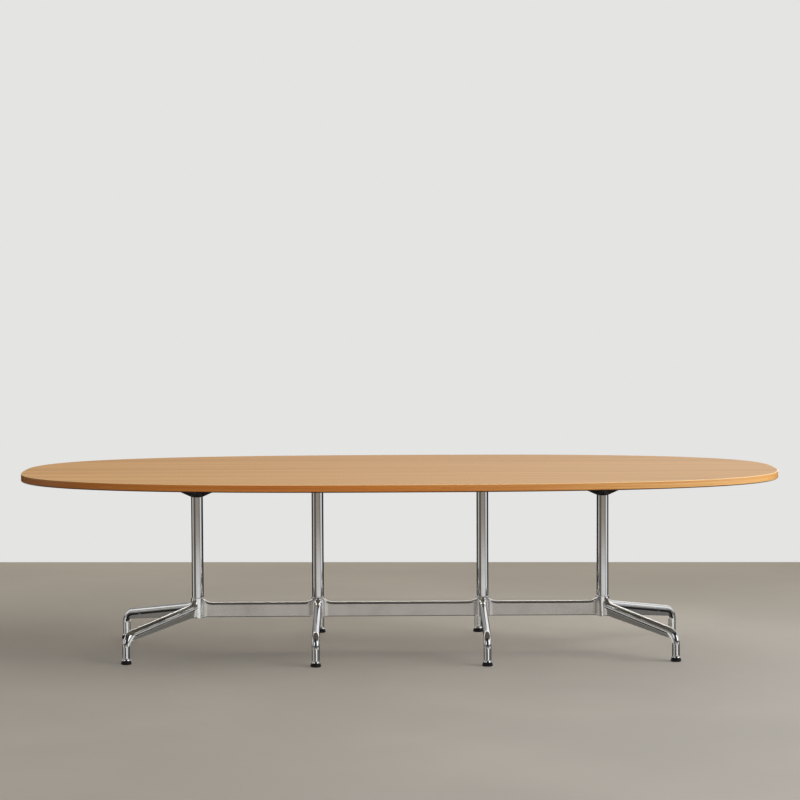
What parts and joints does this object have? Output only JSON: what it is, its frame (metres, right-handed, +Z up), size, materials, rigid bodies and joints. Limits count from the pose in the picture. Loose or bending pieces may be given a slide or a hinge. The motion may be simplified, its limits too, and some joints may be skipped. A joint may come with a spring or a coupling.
{
  "type": "conference table",
  "caption": "Long conference table with a bow-sided veneered top on round columns in a row, joined low down by flat stretchers and carried on cast legs that splay out to levelling glides.",
  "frame": {"origin": "on the floor under the middle of the top", "axes": "+X along the table, +Y across it to the rear, +Z up"},
  "size_m": [3.048, 1.372, 0.735],
  "materials": {
    "veneer": "satin lacquered straight-grained veneer",
    "lipping": "satin lacquered solid timber, grain lengthwise",
    "board": "raw particle board",
    "backing": "pale matt balancing sheet",
    "cast": "polished casting",
    "tube": "polished plated tube",
    "spider": "black satin paint",
    "zinc": "zinc-plated steel",
    "glide": "moulded black nylon, glossy"
  },
  "bodies": {
    "base": {"top_veneer": "veneer", "top_core": "board", "backing_sheet": "backing", "edge_lipping": "lipping", "stretcher_left": "cast", "stretcher_middle": "cast", "stretcher_right": "cast", "column_left_end": "tube", "hub_core_left_end": "zinc", "tie_rod_left_end": "zinc", "hub_nut_left_end": "zinc", "spider_left_end": "spider", "leg_left_end_front": "cast", "leg_left_end_rear": "cast", "column_left_middle": "tube", "hub_core_left_middle": "zinc", "tie_rod_left_middle": "zinc", "hub_nut_left_middle": "zinc", "spider_left_middle": "spider", "leg_left_middle_front": "cast", "leg_left_middle_rear": "cast", "column_right_middle": "tube", "hub_core_right_middle": "zinc", "tie_rod_right_middle": "zinc", "hub_nut_right_middle": "zinc", "spider_right_middle": "spider", "leg_right_middle_front": "cast", "leg_right_middle_rear": "cast", "column_right_end": "tube", "hub_core_right_end": "zinc", "tie_rod_right_end": "zinc", "hub_nut_right_end": "zinc", "spider_right_end": "spider", "leg_right_end_front": "cast", "leg_right_end_rear": "cast"},
    "pad_left_end_front": {"glide_pad_left_end_front": "glide"},
    "stem_left_end_front": {"glide_stem_left_end_front": "zinc"},
    "pad_left_end_rear": {"glide_pad_left_end_rear": "glide"},
    "stem_left_end_rear": {"glide_stem_left_end_rear": "zinc"},
    "pad_left_middle_front": {"glide_pad_left_middle_front": "glide"},
    "stem_left_middle_front": {"glide_stem_left_middle_front": "zinc"},
    "pad_left_middle_rear": {"glide_pad_left_middle_rear": "glide"},
    "stem_left_middle_rear": {"glide_stem_left_middle_rear": "zinc"},
    "pad_right_middle_front": {"glide_pad_right_middle_front": "glide"},
    "stem_right_middle_front": {"glide_stem_right_middle_front": "zinc"},
    "pad_right_middle_rear": {"glide_pad_right_middle_rear": "glide"},
    "stem_right_middle_rear": {"glide_stem_right_middle_rear": "zinc"},
    "pad_right_end_front": {"glide_pad_right_end_front": "glide"},
    "stem_right_end_front": {"glide_stem_right_end_front": "zinc"},
    "pad_right_end_rear": {"glide_pad_right_end_rear": "glide"},
    "stem_right_end_rear": {"glide_stem_right_end_rear": "zinc"}
  },
  "joints": [
    {"name": "level_left_end_front", "type": "slide", "parent": "base", "child": "pad_left_end_front", "axis": [0, 0, -1], "range_m": [0, 0.01125]},
    {"name": "screw_left_end_front", "type": "hinge", "parent": "pad_left_end_front", "child": "stem_left_end_front", "pos_m": [-1.08145, -0.35435, 0.02], "axis": [0, 0, -1], "range_deg": [0, 2700.5]},
    {"name": "level_left_end_rear", "type": "slide", "parent": "base", "child": "pad_left_end_rear", "axis": [0, 0, -1], "range_m": [0, 0.01125]},
    {"name": "screw_left_end_rear", "type": "hinge", "parent": "pad_left_end_rear", "child": "stem_left_end_rear", "pos_m": [-1.14433, 0.29872, 0.02], "axis": [0, 0, -1], "range_deg": [0, 2700.5]},
    {"name": "level_left_middle_front", "type": "slide", "parent": "base", "child": "pad_left_middle_front", "axis": [0, 0, -1], "range_m": [0, 0.01125]},
    {"name": "screw_left_middle_front", "type": "hinge", "parent": "pad_left_middle_front", "child": "stem_left_middle_front", "pos_m": [-0.335, -0.438, 0.02], "axis": [0, 0, -1], "range_deg": [0, 2700.5]},
    {"name": "level_left_middle_rear", "type": "slide", "parent": "base", "child": "pad_left_middle_rear", "axis": [0, 0, -1], "range_m": [0, 0.01125]},
    {"name": "screw_left_middle_rear", "type": "hinge", "parent": "pad_left_middle_rear", "child": "stem_left_middle_rear", "pos_m": [-0.335, 0.438, 0.02], "axis": [0, 0, -1], "range_deg": [0, 2700.5]},
    {"name": "level_right_middle_front", "type": "slide", "parent": "base", "child": "pad_right_middle_front", "axis": [0, 0, -1], "range_m": [0, 0.01125]},
    {"name": "screw_right_middle_front", "type": "hinge", "parent": "pad_right_middle_front", "child": "stem_right_middle_front", "pos_m": [0.335, -0.438, 0.02], "axis": [0, 0, -1], "range_deg": [0, 2700.5]},
    {"name": "level_right_middle_rear", "type": "slide", "parent": "base", "child": "pad_right_middle_rear", "axis": [0, 0, -1], "range_m": [0, 0.01125]},
    {"name": "screw_right_middle_rear", "type": "hinge", "parent": "pad_right_middle_rear", "child": "stem_right_middle_rear", "pos_m": [0.335, 0.438, 0.02], "axis": [0, 0, -1], "range_deg": [0, 2700.5]},
    {"name": "level_right_end_front", "type": "slide", "parent": "base", "child": "pad_right_end_front", "axis": [0, 0, -1], "range_m": [0, 0.01125]},
    {"name": "screw_right_end_front", "type": "hinge", "parent": "pad_right_end_front", "child": "stem_right_end_front", "pos_m": [1.08145, -0.35435, 0.02], "axis": [0, 0, -1], "range_deg": [0, 2700.5]},
    {"name": "level_right_end_rear", "type": "slide", "parent": "base", "child": "pad_right_end_rear", "axis": [0, 0, -1], "range_m": [0, 0.01125]},
    {"name": "screw_right_end_rear", "type": "hinge", "parent": "pad_right_end_rear", "child": "stem_right_end_rear", "pos_m": [1.14433, 0.29872, 0.02], "axis": [0, 0, -1], "range_deg": [0, 2700.5]}
  ],
  "couplings": [
    {"joint": "screw_left_end_front", "follows": "level_left_end_front", "rad_per_m": 4188.8},
    {"joint": "screw_left_end_rear", "follows": "level_left_end_rear", "rad_per_m": 4188.8},
    {"joint": "screw_left_middle_front", "follows": "level_left_middle_front", "rad_per_m": 4188.8},
    {"joint": "screw_left_middle_rear", "follows": "level_left_middle_rear", "rad_per_m": 4188.8},
    {"joint": "screw_right_middle_front", "follows": "level_right_middle_front", "rad_per_m": 4188.8},
    {"joint": "screw_right_middle_rear", "follows": "level_right_middle_rear", "rad_per_m": 4188.8},
    {"joint": "screw_right_end_front", "follows": "level_right_end_front", "rad_per_m": 4188.8},
    {"joint": "screw_right_end_rear", "follows": "level_right_end_rear", "rad_per_m": 4188.8}
  ]
}
